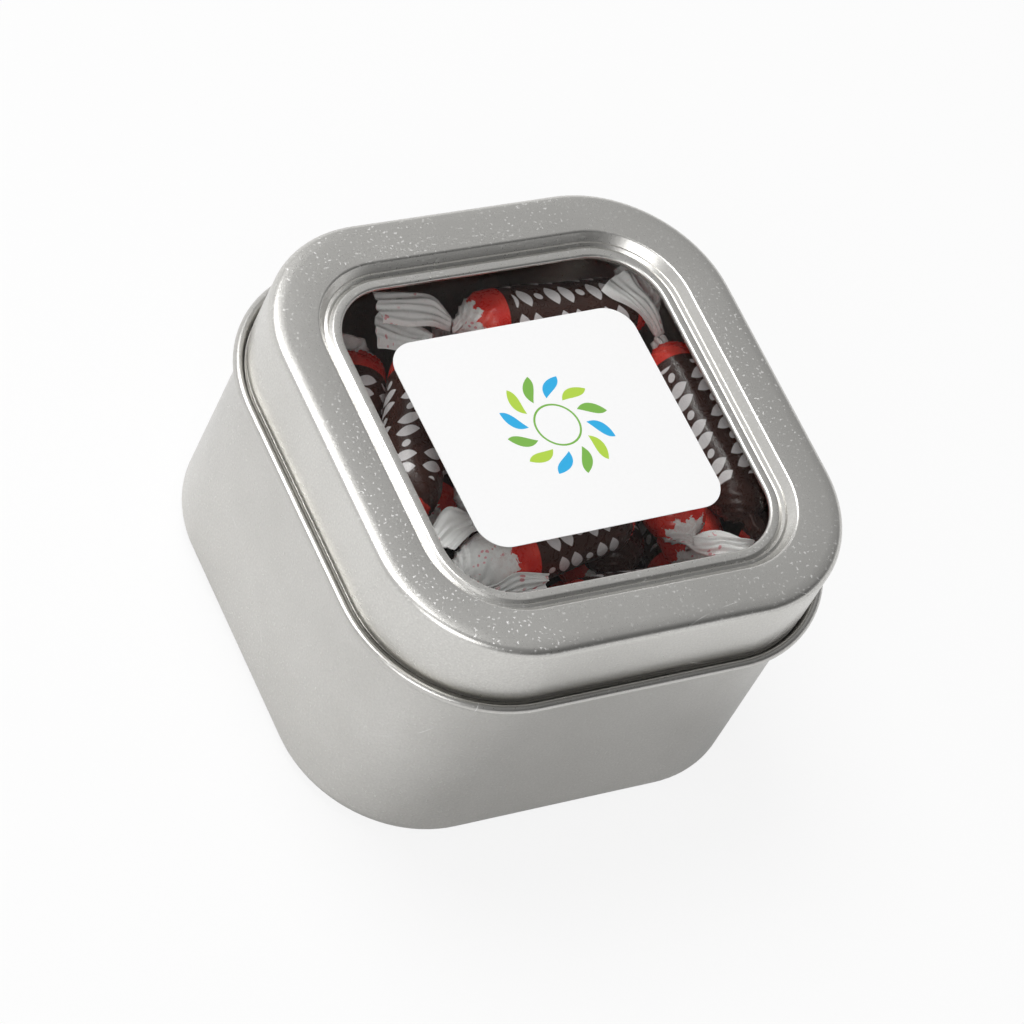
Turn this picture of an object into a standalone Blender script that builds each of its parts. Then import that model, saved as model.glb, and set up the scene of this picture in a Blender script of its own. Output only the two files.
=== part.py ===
"""Square window tin with rounded corners: a drawn tinplate can with a beaded seat, a slip lid with a stepped
border that grips a clear window, a sticker on the window, and a fill of twist-wrapped chews.

Metres, +Z up. The origin is the centre of the base. The sticker reads along +X with its top towards +Y.
"""

import math

import bmesh
import bpy
from mathutils import Matrix, Vector, geometry

# Driving sizes of the closed tin
tin_height = 0.0604
wall_half_width = 0.0467
wall_corner_radius = 0.0254
sheet = 0.0003
seat_gap = 0.0003
corner_steps = 8

# Base of the can
base_radius = 0.0035
base_band = 0.004
base_recess = 0.0006
base_slope = 0.0006
base_arc_steps = 4

# Bead and neck of the can
bead_reach = 0.0025
bead_radius = 0.0009
bead_drop = 0.01566
bead_root_radius = 0.0008
bead_valley_width = 0.0008
neck_inset = 0.0009
neck_root_radius = 0.0004
rim_roll_width = 0.0009
rim_roll_depth = 0.0018

# Skirt, shoulder and flat ring of the lid
lid_overhang = 0.0004
skirt_depth = 0.0155
skirt_hem_height = 0.0022
skirt_hem_width = 0.001
shoulder_radius = 0.0016
ring_width = 0.0088

# Stepped border of the window: a wall down, a fine groove and ridge, then a rolled hem
border_edge_radius = 0.0007
border_wall_run = 0.0017
border_drop = 0.0015
ridge_height = 0.0002
ridge_half_width = 0.0005
inner_groove_drop = 0.0018
hem_width = 0.00215
hem_crest_drop = 0.0014
hem_depth = 0.0011
slot_depth = 0.002
tongue_cover = 0.0014

# Clear window and sticker
window_thickness = 0.0003
label_length = 0.0508
label_width = 0.045
label_corner_radius = 0.0055
label_thickness = 0.00015
label_gap = 0.0001
label_offset_x = 0.0002
label_offset_y = -0.0006
label_turn = math.radians(1.0)
label_corner_steps = 4

# Twist-wrapped chews
chew_radius = 0.0062
chew_core_length = 0.027
neck_radius = 0.0018
twist_length = 0.002
ear_length = 0.01
ear_half_width = 0.005
ear_half_thickness = 0.0005
chew_sides = 10
headspace = 0.0036

# Sizes that follow from those above
corner_centre = wall_half_width - wall_corner_radius
lid_half_width = wall_half_width + lid_overhang
lid_inside = lid_half_width - sheet
neck_half_width = wall_half_width - neck_inset
mouth_half_width = neck_half_width - sheet
skirt_bottom = tin_height - skirt_depth
rim_top = tin_height - sheet - seat_gap
floor_top = base_recess + sheet
border_start = lid_half_width - ring_width
slot_height = window_thickness + 2 * seat_gap
hem_bottom = tin_height - hem_crest_drop - hem_depth
window_top = hem_bottom - seat_gap
window_bottom = window_top - window_thickness
tongue_bottom = window_bottom - seat_gap - sheet
fill_line = tongue_bottom - headspace
chew_pitch = 2 * chew_radius + seat_gap
neck_place = chew_core_length / 2 + math.sqrt(chew_radius**2 - neck_radius**2)
ear_root = neck_place + twist_length


def clear_scene():
    """Remove whatever the scene holds."""
    for item in list(bpy.data.objects):
        bpy.data.objects.remove(item, do_unlink=True)


def principled(name, colour, roughness, metallic=0.0, alpha=1.0):
    """A Principled material with the finish of one part."""
    material = bpy.data.materials.new(name)
    material.use_nodes = True
    shader = material.node_tree.nodes["Principled BSDF"]
    shader.inputs["Base Color"].default_value = (*colour, 1.0)
    shader.inputs["Roughness"].default_value = roughness
    shader.inputs["Metallic"].default_value = metallic
    shader.inputs["Alpha"].default_value = alpha
    material.diffuse_color = (*colour, alpha)
    return material


def object_from(bm, name, material, sharp_angle=math.radians(40.0)):
    """Turn a bmesh into a smooth-shaded object with one material."""
    bmesh.ops.recalc_face_normals(bm, faces=bm.faces)
    mesh = bpy.data.meshes.new(name)
    bm.to_mesh(mesh)
    bm.free()
    mesh.shade_smooth()
    mesh.set_sharp_from_angle(angle=sharp_angle)
    mesh.materials.append(material)
    made = bpy.data.objects.new(name, mesh)
    bpy.context.scene.collection.objects.link(made)
    return made


def arc(centre_d, centre_z, radius, start_deg, end_deg, steps):
    """Points of a section's arc, from one angle to the other, both ends in."""
    turn = end_deg - start_deg
    angles = [math.radians(start_deg + turn * step / steps) for step in range(steps + 1)]
    return [(centre_d + radius * math.cos(a), centre_z + radius * math.sin(a)) for a in angles]


def sweep_round_square(section, closed):
    """Carry a section, as (distance from the axis, height) points, round the four corners and straight sides."""
    bm = bmesh.new()
    verts = [bm.verts.new((d, corner_centre, z)) for d, z in section]
    edges = [bm.edges.new(pair) for pair in zip(verts, verts[1:])]
    if closed:
        edges.append(bm.edges.new((verts[-1], verts[0])))
    last = verts + edges
    for quarter in range(4):
        turn = Matrix.Rotation(quarter * math.pi / 2, 3, "Z")
        spun = bmesh.ops.spin(
            bm,
            geom=last,
            cent=turn @ Vector((corner_centre, corner_centre, 0)),
            axis=(0, 0, 1),
            angle=math.pi / 2,
            steps=corner_steps,
        )
        ends = [item for item in spun["geom_last"] if isinstance(item, bmesh.types.BMEdge)]
        drawn = bmesh.ops.extrude_edge_only(bm, edges=ends)["geom"]
        moved = [item for item in drawn if isinstance(item, bmesh.types.BMVert)]
        bmesh.ops.translate(bm, verts=moved, vec=turn @ Vector((-2 * corner_centre, 0, 0)))
        last = [item for item in drawn if not isinstance(item, bmesh.types.BMFace)]
    bmesh.ops.remove_doubles(bm, verts=bm.verts, dist=sheet / 100)
    if not closed:
        rims = [edge for edge in bm.edges if edge.is_boundary]
        bmesh.ops.holes_fill(bm, edges=rims, sides=0)
    return bm


def can_section():
    """Section of the drawn can, from the underside of its panel, up the outside and down the inside."""
    foot = wall_half_width - base_radius
    band_inner = foot - base_band
    bead_z = tin_height - bead_drop
    crest = wall_half_width + bead_reach - bead_radius
    root_z = bead_z - bead_radius - bead_root_radius
    root_d = wall_half_width + bead_root_radius
    valley_z = skirt_bottom - seat_gap
    valley_d = neck_half_width + neck_root_radius + bead_valley_width
    neck_z = valley_z + neck_root_radius
    neck_d = neck_half_width + neck_root_radius
    rim_radius = rim_roll_width / 2
    rim_d = neck_half_width - rim_radius
    rim_z = rim_top - rim_radius
    rolled = neck_half_width - rim_roll_width
    neck_inside = neck_half_width - sheet

    outside = [(band_inner - base_slope, base_recess), (band_inner, 0.0)]
    outside += arc(foot, base_radius, base_radius, -90, 0, base_arc_steps)
    outside += arc(root_d, root_z, bead_root_radius, 180, 90, 3)
    outside += arc(crest, bead_z, bead_radius, -90, 140, 8)
    outside += [(valley_d, valley_z)]
    outside += arc(neck_d, neck_z, neck_root_radius, 270, 180, 3)
    outside += arc(rim_d, rim_z, rim_radius, 0, 180, 5)

    inside = arc(rolled + sheet / 2, rim_top - rim_roll_depth, sheet / 2, 180, 270, 2)
    inside += [(neck_inside, rim_top - rim_roll_depth - sheet / 2)]
    inside += arc(neck_d, neck_z, neck_root_radius + sheet, 180, 270, 3)
    inside += [(valley_d + sheet / 2, valley_z - sheet)]
    inside += arc(crest, bead_z, bead_radius - sheet, 140, -90, 7)
    inside += arc(root_d, root_z, bead_root_radius + sheet, 90, 180, 3)
    inside += arc(foot, base_radius, base_radius - sheet, 0, -90, base_arc_steps)
    inside += [(band_inner - sheet / 2, sheet), (band_inner - base_slope - sheet / 2, floor_top)]
    return outside + inside


def lid_section():
    """Closed section of the lid's tinplate: hemmed skirt, shoulder, flat ring, and the border round the window."""
    top = tin_height
    hem_top = skirt_bottom + skirt_hem_height
    hem_inner = lid_half_width - skirt_hem_width
    hem_round = skirt_hem_width / 3
    shoulder_d = lid_half_width - shoulder_radius
    shoulder_z = top - shoulder_radius

    edge_d = border_start
    edge_z = top - border_edge_radius
    wall_d = border_start - border_wall_run
    groove_z = top - border_drop
    ridge_d = wall_d - ridge_half_width
    inner_groove_d = ridge_d - ridge_half_width
    inner_groove_z = top - inner_groove_drop
    crest_z = top - hem_crest_drop
    hem_outer = inner_groove_d - ridge_half_width / 2
    nose = hem_outer - hem_width
    nose_radius = hem_depth / 2
    nose_d = nose + nose_radius
    nose_z = crest_z - nose_radius
    slot_end = nose_d + slot_depth
    tongue_d = slot_end - tongue_cover
    fold_d = slot_end + sheet

    outside = [(lid_half_width - hem_round, skirt_bottom + hem_round / 2)]
    outside += [(lid_half_width - hem_round / 3, skirt_bottom + skirt_hem_height / 2)]
    outside += [(lid_half_width, hem_top)]
    outside += arc(shoulder_d, shoulder_z, shoulder_radius, 0, 90, 5)
    outside += arc(edge_d, edge_z, border_edge_radius, 90, 150, 3)
    outside += [(wall_d, groove_z)]
    outside += [(ridge_d, groove_z + ridge_height)]
    outside += [(inner_groove_d, inner_groove_z)]
    outside += arc(hem_outer - nose_radius, nose_z, nose_radius, 50, 90, 2)
    outside += arc(nose_d, nose_z, nose_radius, 90, 270, 6)

    inside = [(slot_end, hem_bottom), (slot_end, hem_bottom - slot_height)]
    inside += arc(tongue_d, tongue_bottom + sheet / 2, sheet / 2, 90, 270, 2)
    inside += arc(slot_end, tongue_bottom + sheet, sheet, -90, 0, 2)
    inside += [(fold_d, inner_groove_z - sheet)]
    inside += [(wall_d, groove_z - sheet)]
    inside += arc(edge_d, edge_z, border_edge_radius - sheet, 150, 90, 2)
    inside += arc(shoulder_d, shoulder_z, shoulder_radius - sheet, 90, 0, 5)
    inside += [(lid_inside, hem_top)]
    inside += [(hem_inner + hem_round, hem_top)]
    inside += [(hem_inner, hem_top - hem_round)]
    inside += [(hem_inner, skirt_bottom + hem_round)]
    inside += [(hem_inner + hem_round, skirt_bottom)]
    return outside + inside


def make_can(material):
    """Drawn can with its recessed base, the bead that the lid comes down to, and a rolled rim."""
    return object_from(sweep_round_square(can_section(), closed=False), "tin_body", material)


def make_lid(material):
    """Slip lid, open in the middle, its inner edge folded into a slot for the window."""
    return object_from(sweep_round_square(lid_section(), closed=True), "lid_shell", material)


def window_half_width():
    """The sheet stops one gap short of the end of the lid's slot."""
    section = lid_section()
    slot_end = max(d for d, z in section if abs(z - hem_bottom) < sheet / 100)
    return slot_end - seat_gap


def make_window(material):
    """Clear sheet held all round in the lid's slot."""
    edge = window_half_width()
    section = [(edge, window_bottom), (edge, window_top)]
    return object_from(sweep_round_square(section, closed=False), "window_sheet", material)


def make_label(material):
    """Sticker with round corners on the outside of the window."""
    bm = bmesh.new()
    bmesh.ops.create_grid(bm, x_segments=1, y_segments=1, size=0.5)
    bmesh.ops.scale(bm, vec=(label_length, label_width, 1), verts=bm.verts)
    bmesh.ops.bevel(
        bm,
        geom=list(bm.verts),
        offset=label_corner_radius,
        offset_type="OFFSET",
        segments=label_corner_steps,
        profile=0.5,
        affect="VERTICES",
        material=-1,
    )
    raised = bmesh.ops.extrude_face_region(bm, geom=list(bm.faces))["geom"]
    top = [item for item in raised if isinstance(item, bmesh.types.BMVert)]
    bmesh.ops.translate(bm, verts=top, vec=(0, 0, label_thickness))
    label = object_from(bm, "label", material)
    label.location = (label_offset_x, label_offset_y, window_top + label_gap)
    label.rotation_euler = (0, 0, label_turn)
    return label


def chew_mesh(ears):
    """One wrapped chew along X: a round-shouldered roll with a fan of paper past the twist at each end.

    Each fan has its turn to the side, whether it lies flat rather than upright, and how far its tip is lifted."""
    dome = arc(chew_core_length / 2, 0.0, chew_radius, 90, 30, 2)
    stops = (neck_place, ear_root, ear_root + ear_length / 4, ear_root + ear_length)
    half = dome + [(x, neck_radius) for x in stops]
    outline = [(-x, r) for x, r in reversed(half)] + half
    bm = bmesh.new()
    verts = [bm.verts.new((x, 0, r)) for x, r in outline]
    edges = [bm.edges.new(pair) for pair in zip(verts, verts[1:])]
    bmesh.ops.spin(
        bm,
        geom=verts + edges,
        cent=(0, 0, 0),
        axis=(1, 0, 0),
        angle=2 * math.pi,
        steps=chew_sides,
        use_merge=True,
    )
    bmesh.ops.remove_doubles(bm, verts=bm.verts, dist=sheet / 100)
    bmesh.ops.holes_fill(bm, edges=[edge for edge in bm.edges if edge.is_boundary], sides=0)
    thin = ear_half_thickness / neck_radius
    for side, (turn, flat, lift) in zip((-1, 1), ears):
        root_verts = [v for v in bm.verts if abs(v.co.x * side - ear_root) < twist_length / 2]
        fan_verts = [v for v in bm.verts if v.co.x * side > ear_root + twist_length / 2]
        for vert in fan_verts:
            spread = 1 + (ear_half_width / neck_radius - 1) * (vert.co.x * side - ear_root) / ear_length
            vert.co.y *= spread if flat else thin
            vert.co.z *= thin if flat else spread
        for bend_share, bent in ((0.5, root_verts), (1.0, fan_verts)):
            raise_tip = Matrix.Rotation(-side * lift * bend_share, 3, "Y")
            bend = Matrix.Rotation(turn * bend_share, 3, "Z") @ raise_tip
            bmesh.ops.rotate(bm, cent=(side * ear_root, 0, 0), matrix=bend, verts=bent)
    return bm


def point_gap(point, a, b):
    """Distance in plan from a point to the segment a-b."""
    along = b - a
    share = max(0.0, min(1.0, (point - a).dot(along) / along.length_squared))
    return (a + along * share - point).length


def plan_gap(a, b, c, d):
    """Least distance in plan between the segments a-b and c-d."""
    if geometry.intersect_line_line_2d(a, b, c, d):
        return 0.0
    return min(point_gap(a, c, d), point_gap(b, c, d), point_gap(c, a, b), point_gap(d, a, b))


def chew_spines(place, heading, ears):
    """Segments in plan that stand for a chew: its roll, its two twists, and rays of its two fans in two halves.

    Each comes with half its width, half its height and how far it lies above the axis of the roll."""
    ahead = Vector((math.cos(heading), math.sin(heading)))
    core = ahead * (chew_core_length / 2)
    spines = [(place - core, place + core, chew_radius, chew_radius, 0)]
    for side, (turn, flat, lift) in zip((-1, 1), ears):
        root = place + ahead * (side * ear_root)
        spines.append((place + core * side, root, neck_radius, neck_radius, 0))
        away = Matrix.Rotation(turn, 2) @ ahead * side
        reach = away * ear_length * math.cos(lift)
        aside = Vector((-away.y, away.x)) * ear_half_width
        rise = ear_length * math.sin(lift)
        half_height = ear_half_thickness + abs(rise) / 4
        if not flat:
            half_height += ear_half_width
        for ray_share in fan_ray_shares if flat else (0,):
            middle = root + (reach + aside * ray_share) / 2
            tip = root + reach + aside * ray_share
            spines.append((root, middle, ear_half_thickness, half_height, rise / 4))
            spines.append((middle, tip, ear_half_thickness, half_height, rise * 3 / 4))
    return spines


def inside_wall(point, radius):
    """Whether a round end of this radius clears the rounded walls of the can."""
    limit = mouth_half_width - seat_gap - radius
    x = max(abs(point.x) - corner_centre, 0)
    y = max(abs(point.y) - corner_centre, 0)
    return math.hypot(x, y) <= limit - corner_centre


def resting_height(spines, laid):
    """Height of the axis of a chew let down until it rests on the floor, or on one that was laid before it."""
    height = floor_top + seat_gap + chew_radius
    for a, b, radius, half_height, rise in spines:
        for other_height, other_spines in laid:
            for c, d, other_radius, other_half_height, other_rise in other_spines:
                reach = radius + other_radius + seat_gap
                apart = plan_gap(a, b, c, d)
                if apart < reach:
                    flats = half_height - radius + other_half_height - other_radius
                    step = other_rise - rise + flats + math.sqrt(reach**2 - apart**2)
                    height = max(height, other_height + step)
    return height


# Rays of a flat fan, as shares of its half width
fan_ray_shares = (-1.0, -0.5, 0.0, 0.5, 1.0)

# Rows of the hidden fill from left to right, then the chews of the two upper layers with their headings and, for
# the left and the right ear, the turn, 1 where it lies flat, and the lift. Places are shares of the pitch of two
# chews laid side by side, angles are in degrees
row_place_shares = ((-2.866, 0.0), (-1.433, 0.315), (0.0, -0.315), (1.433, 0.315), (2.866, 0.0))
upper_place_shares = (
    (-1.969, 1.575, 58, (0, 0, 0), (112, 0, 0)),
    (-0.748, 1.024, 58, (0, 0, 0), (0, 1, 0)),
    (2.598, -0.079, 90, (0, 1, 0), (0, 0, 0)),
    (1.26, 0.079, 90, (0, 1, 0), (0, 1, 0)),
    (-1.575, -1.969, 10, (-90, 0, 0), (-50, 1, 0)),
    (-1.465, 0.898, 60, (0, 1, 0), (80, 1, 0)),
    (1.535, 2.441, -4, (-28, 1, 8), (120, 0, 0)),
    (0.866, -2.409, -3, (60, 0, 0), (-95, 0, 0)),
    (-0.386, -1.291, 10, (60, 1, 0), (100, 0, 0)),
    (-0.181, 0.52, 50, (-60, 0, 0), (-110, 0, 0)),
    (3.039, 0.071, 90, (0, 0, 0), (90, 0, 18)),
    (1.953, 0.0, 91, (70, 1, 20), (75, 0, 0)),
)
upper_layers = 2


def chew_places():
    """Places, headings and ears of all the chews, in the order in which they are laid in the can."""
    row_layers = max(int((fill_line - floor_top) / chew_pitch) - upper_layers, 0)
    rows = [(x_share, y_share, 90, (0, 0, 0), (0, 0, 0)) for x_share, y_share in row_place_shares]
    places = []
    for x_share, y_share, heading, *ears in (*rows * row_layers, *upper_place_shares):
        place = Vector((x_share, y_share)) * chew_pitch
        bent = [(math.radians(turn), flat, math.radians(lift)) for turn, flat, lift in ears]
        places.append((place, math.radians(heading), bent))
    return places


def make_chews(material):
    """Lay the chews one by one, leaving out any that the walls or the headspace have no room for."""
    laid = []
    for place, heading, ears in chew_places():
        spines = chew_spines(place, heading, ears)
        height = resting_height(spines, laid)
        top = height + max(half_height + rise for _, _, _, half_height, rise in spines)
        walled = all(inside_wall(a, radius) and inside_wall(b, radius) for a, b, radius, _, _ in spines)
        if top > fill_line or not walled:
            continue
        laid.append((height, spines))
        chew = object_from(chew_mesh(ears), f"chew_{len(laid):02d}", material)
        chew.location = (*place, height)
        chew.rotation_euler = (0, 0, heading)


clear_scene()
tinplate = principled("satin_tinplate", (0.62, 0.61, 0.58), 0.32, metallic=1.0)
clear_sheet = principled("clear_window", (0.95, 0.96, 0.97), 0.05, alpha=0.25)
sticker = principled("white_sticker", (0.95, 0.95, 0.95), 0.45)
wrapper = principled("brown_wrapper", (0.09, 0.045, 0.04), 0.4)

can = make_can(tinplate)
lid = make_lid(tinplate)
window = make_window(clear_sheet)
label = make_label(sticker)
make_chews(wrapper)

lift = bpy.data.objects.new("lid_lift", None)
lift.location = (0, 0, rim_top)
bpy.context.scene.collection.objects.link(lift)
bpy.context.view_layer.update()
for piece in (lid, window, label):
    piece.parent = lift
    piece.matrix_parent_inverse = lift.matrix_world.inverted()
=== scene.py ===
import math

import bmesh
import bpy
from mathutils import Matrix, Vector, noise


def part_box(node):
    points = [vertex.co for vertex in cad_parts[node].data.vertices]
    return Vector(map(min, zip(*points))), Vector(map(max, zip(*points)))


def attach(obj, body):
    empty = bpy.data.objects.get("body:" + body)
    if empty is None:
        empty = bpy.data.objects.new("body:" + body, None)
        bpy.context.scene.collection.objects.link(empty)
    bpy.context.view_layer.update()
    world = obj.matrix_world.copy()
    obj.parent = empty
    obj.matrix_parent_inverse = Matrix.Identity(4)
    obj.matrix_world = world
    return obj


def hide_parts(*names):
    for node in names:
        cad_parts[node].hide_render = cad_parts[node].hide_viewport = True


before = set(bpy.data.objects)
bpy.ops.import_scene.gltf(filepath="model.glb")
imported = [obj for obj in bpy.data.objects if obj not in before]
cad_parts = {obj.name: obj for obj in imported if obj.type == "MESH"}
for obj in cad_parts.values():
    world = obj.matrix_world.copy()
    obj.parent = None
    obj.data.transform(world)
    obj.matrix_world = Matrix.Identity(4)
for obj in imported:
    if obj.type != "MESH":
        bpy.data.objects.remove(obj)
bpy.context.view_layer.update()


# The can is one deep-drawn pan of satin tinplate with round corners. A bead for the lid to stop on is rolled
# into its wall, the neck above it is drawn in a little, and the mouth is curled inwards.
tin_height = 0.0604
wall_half_width = 0.0467
wall_corner_radius = 0.0254
corner_centre = wall_half_width - wall_corner_radius
sheet = 0.0003
seat_gap = 0.0003
skirt_depth = 0.0155
skirt_bottom = tin_height - skirt_depth
base_radius = 0.0035
base_band = 0.004
base_recess = 0.0006
base_slope = 0.0006
bead_reach = 0.0025
bead_radius = 0.0009
bead_drop = 0.01566
bead_root_radius = 0.0008
bead_valley_width = 0.0008
neck_inset = 0.0009
neck_root_radius = 0.0004
rim_roll_width = 0.0009
rim_roll_depth = 0.0018
tin_corner_steps = 24
tin_side_shares = (0.02, 0.13, 0.7, 0.13, 0.02)
cloud_scale = 55.0
grain_scale = 2400.0
dust_scale = 1900.0
dust_patch_scale = 40.0
scratch_wear_scale = 160.0
grain_grey = (0.5, 0.49, 0.47, 1)
speck_white = (0.95, 0.95, 0.94, 1)
grain_depth = 0.00002


def arc(centre_d, centre_z, radius, start_deg, end_deg, steps):
    """Points of a section's arc, from one angle to the other, both ends in."""
    angles = [math.radians(start_deg + (end_deg - start_deg) * step / steps) for step in range(steps + 1)]
    return [(centre_d + radius * math.cos(a), centre_z + radius * math.sin(a)) for a in angles]


def sweep_round_square(section, closed, centre=corner_centre, corner_steps=tin_corner_steps):
    """Carry a section, as (distance from the axis, height) points, round the four corners and sides."""
    bm = bmesh.new()
    verts = [bm.verts.new((d, centre, z)) for d, z in section]
    edges = [bm.edges.new(pair) for pair in zip(verts, verts[1:])]
    if closed:
        edges.append(bm.edges.new((verts[-1], verts[0])))
    last = verts + edges
    for quarter in range(4):
        turn = Matrix.Rotation(quarter * math.pi / 2, 3, "Z")
        pivot = turn @ Vector((centre, centre, 0))
        spun = bmesh.ops.spin(
            bm, geom=last, cent=pivot, axis=(0, 0, 1), angle=math.pi / 2, steps=corner_steps
        )
        last = [item for item in spun["geom_last"] if isinstance(item, bmesh.types.BMEdge)]
        for share in tin_side_shares:
            ends = [item for item in last if isinstance(item, bmesh.types.BMEdge)]
            drawn = bmesh.ops.extrude_edge_only(bm, edges=ends)["geom"]
            moved = [item for item in drawn if isinstance(item, bmesh.types.BMVert)]
            bmesh.ops.translate(bm, verts=moved, vec=turn @ Vector((-2 * centre * share, 0, 0)))
            last = [item for item in drawn if not isinstance(item, bmesh.types.BMFace)]
    bmesh.ops.remove_doubles(bm, verts=bm.verts, dist=sheet / 100)
    if not closed:
        bmesh.ops.holes_fill(bm, edges=[edge for edge in bm.edges if edge.is_boundary], sides=0)
    return bm


def mesh_piece(bm, name, material, sharp_deg=35.0):
    """Turn a bmesh into a smooth-shaded piece with one material."""
    bmesh.ops.recalc_face_normals(bm, faces=bm.faces)
    mesh = bpy.data.meshes.new(name)
    bm.to_mesh(mesh)
    bm.free()
    mesh.shade_smooth()
    mesh.set_sharp_from_angle(angle=math.radians(sharp_deg))
    mesh.materials.append(material)
    piece = bpy.data.objects.new(name, mesh)
    bpy.context.scene.collection.objects.link(piece)
    return piece


def add_node(tree, kind, inputs=None, **settings):
    """Add a shader node with its options, and join or fill its inputs by name or number."""
    made = tree.nodes.new("ShaderNode" + kind)
    for name, value in settings.items():
        setattr(made, name, value)
    for name, value in (inputs or {}).items():
        if isinstance(value, bpy.types.NodeSocket):
            tree.links.new(value, made.inputs[name])
        else:
            made.inputs[name].default_value = value
    return made


def maths(tree, operation, *values):
    """The result of a Math node on numbers or sockets."""
    return add_node(tree, "Math", dict(enumerate(values)), operation=operation).outputs[0]


def blend_colour(tree, share, first, second):
    """Colour between two, by a share from 0 to 1."""
    return add_node(tree, "Mix", {0: share, 6: first, 7: second}, data_type="RGBA").outputs[2]


def span(tree, value, low, high, out_low, out_high):
    """Map a value from one range onto another, clamped."""
    settings = {"Value": value, "From Min": low, "From Max": high, "To Min": out_low, "To Max": out_high}
    return add_node(tree, "MapRange", settings).outputs["Result"]


def new_material(name):
    """An empty node material and its tree, with a Principled shader on the output."""
    material = bpy.data.materials.new(name)
    material.use_nodes = True
    tree = material.node_tree
    return material, tree, tree.nodes["Principled BSDF"]


def cloud_noise(tree, place, scale, detail):
    """A soft noise from 0 to 1."""
    return add_node(tree, "TexNoise", {"Vector": place, "Scale": scale, "Detail": detail}).outputs["Fac"]


def hairline(tree, place, centre, radius, half_width):
    """Share, from 0 to 1, of a fine scratch that follows an arc round a centre."""
    away = add_node(tree, "VectorMath", {0: place, 1: centre}, operation="DISTANCE").outputs["Value"]
    off = maths(tree, "ABSOLUTE", maths(tree, "SUBTRACT", away, radius))
    wear = cloud_noise(tree, place, scratch_wear_scale, 1.0)
    line = span(tree, off, 0.0, half_width, 1.0, 0.0)
    return maths(tree, "MULTIPLY", line, span(tree, wear, 0.5, 0.6, 0.0, 1.0))


def tinplate_material(name, dark, light, scratches, dust_level):
    """Satin tinplate: a cloudy warm grey with a fine grain, bright dust and a few hairline scratches."""
    material, tree, shader = new_material(name)
    place = add_node(tree, "TexCoord").outputs["Object"]
    cloud = cloud_noise(tree, place, cloud_scale, 3.0)
    grain = cloud_noise(tree, place, grain_scale, 2.0)
    dust = cloud_noise(tree, place, dust_scale, 0.0)
    facing_up = add_node(tree, "SeparateXYZ", {0: add_node(tree, "TexCoord").outputs["Normal"]}).outputs[2]
    settled = maths(tree, "MULTIPLY", span(tree, facing_up, 0.2, 0.9, 0.1, 1.0), dust_level)
    patch = cloud_noise(tree, place, dust_patch_scale, 1.0)
    dusty = maths(tree, "MULTIPLY", span(tree, patch, 0.4, 0.65, 0.3, 1.0), settled)
    marks = maths(tree, "MULTIPLY", span(tree, dust, 0.70, 0.77, 0.0, 1.0), dusty)
    for centre, radius, half_width in scratches:
        marks = maths(tree, "MAXIMUM", marks, hairline(tree, place, centre, radius, half_width))
    plate = blend_colour(tree, span(tree, cloud, 0.3, 0.7, 0.0, 1.0), dark, light)
    shaded = blend_colour(tree, span(tree, grain, 0.3, 0.7, 0.0, 0.35), plate, grain_grey)
    colour = blend_colour(tree, maths(tree, "MULTIPLY", marks, 0.7), shaded, speck_white)
    tree.links.new(colour, shader.inputs["Base Color"])
    shader.inputs["Metallic"].default_value = 1.0
    satin = span(tree, grain, 0.3, 0.7, 0.27, 0.35)
    rough = maths(tree, "ADD", satin, maths(tree, "MULTIPLY", marks, 0.3))
    tree.links.new(rough, shader.inputs["Roughness"])
    relief = maths(tree, "ADD", grain, maths(tree, "MULTIPLY", marks, 1.5))
    bump = add_node(tree, "Bump", {"Strength": 0.35, "Distance": grain_depth, "Height": relief})
    tree.links.new(bump.outputs["Normal"], shader.inputs["Normal"])
    return material


def can_section():
    """Section of the can, from the underside of its panel, up the outside and down the inside."""
    foot = wall_half_width - base_radius
    band_inner = foot - base_band
    bead_z = tin_height - bead_drop
    crest = wall_half_width + bead_reach - bead_radius
    root_z = bead_z - bead_radius - bead_root_radius
    root_d = wall_half_width + bead_root_radius
    neck_half_width = wall_half_width - neck_inset
    valley_z = skirt_bottom - seat_gap
    valley_d = neck_half_width + neck_root_radius + bead_valley_width
    neck_z = valley_z + neck_root_radius
    neck_d = neck_half_width + neck_root_radius
    rim_radius = rim_roll_width / 2
    rim_top = tin_height - sheet - seat_gap
    rolled = neck_half_width - rim_roll_width
    floor_top = base_recess + sheet

    outside = [(band_inner - base_slope, base_recess), (band_inner, 0.0)]
    outside += arc(foot, base_radius, base_radius, -90, 0, 10)
    outside += arc(root_d, root_z, bead_root_radius, 180, 90, 6)
    outside += arc(crest, bead_z, bead_radius, -90, 140, 18)
    outside += [(valley_d, valley_z)]
    outside += arc(neck_d, neck_z, neck_root_radius, 270, 180, 5)
    outside += arc(neck_half_width - rim_radius, rim_top - rim_radius, rim_radius, 0, 180, 10)

    inside = arc(rolled + sheet / 2, rim_top - rim_roll_depth, sheet / 2, 180, 270, 3)
    inside += [(neck_half_width - sheet, rim_top - rim_roll_depth - sheet / 2)]
    inside += arc(neck_d, neck_z, neck_root_radius + sheet, 180, 270, 5)
    inside += [(valley_d + sheet / 2, valley_z - sheet)]
    inside += arc(crest, bead_z, bead_radius - sheet, 140, -90, 12)
    inside += arc(root_d, root_z, bead_root_radius + sheet, 90, 180, 6)
    inside += arc(foot, base_radius, base_radius - sheet, 0, -90, 8)
    inside += [(band_inner - sheet / 2, sheet), (band_inner - base_slope - sheet / 2, floor_top)]
    return outside + inside


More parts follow.
